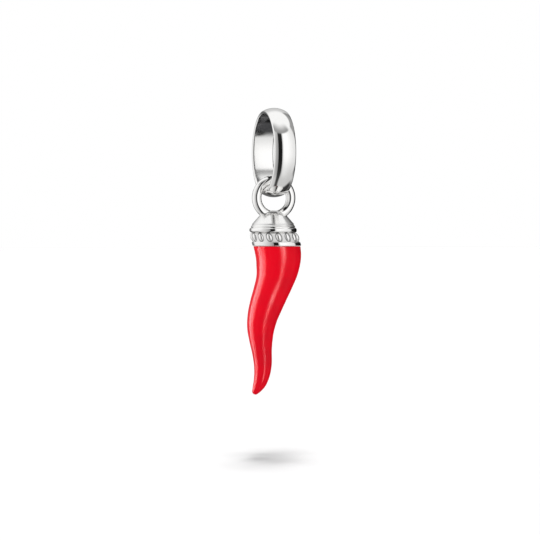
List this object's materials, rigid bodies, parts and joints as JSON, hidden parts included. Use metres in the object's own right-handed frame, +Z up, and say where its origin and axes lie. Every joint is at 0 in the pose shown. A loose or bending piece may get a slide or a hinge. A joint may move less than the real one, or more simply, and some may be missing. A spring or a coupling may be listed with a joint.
{
  "type": "cornicello horn pendant",
  "caption": "Red horn pendant with a beaded silver cap, a soldered loop and a plain ring bail for a chain.",
  "frame": {"origin": "where the chain bears, at the top of the bail's hollow, in the middle of its band", "axes": "+Z up, towards the chain; X along the bail's bore and in the plane of the horn's curve, with the horn's tip towards -X"},
  "size_m": [0.0058, 0.0094, 0.0301],
  "materials": {
    "silver": "mirror polished",
    "red_enamel": "high gloss"
  },
  "bodies": {
    "hanger": {"bail": "silver"},
    "drop": {"cap": "silver", "horn": "red_enamel"}
  },
  "joints": [
    {"name": "drop_swing", "type": "hinge", "parent": "hanger", "child": "drop", "pos_m": [0, 0, -0.00877], "axis": [0, 1, 0], "range_deg": [-95, 95]}
  ]
}
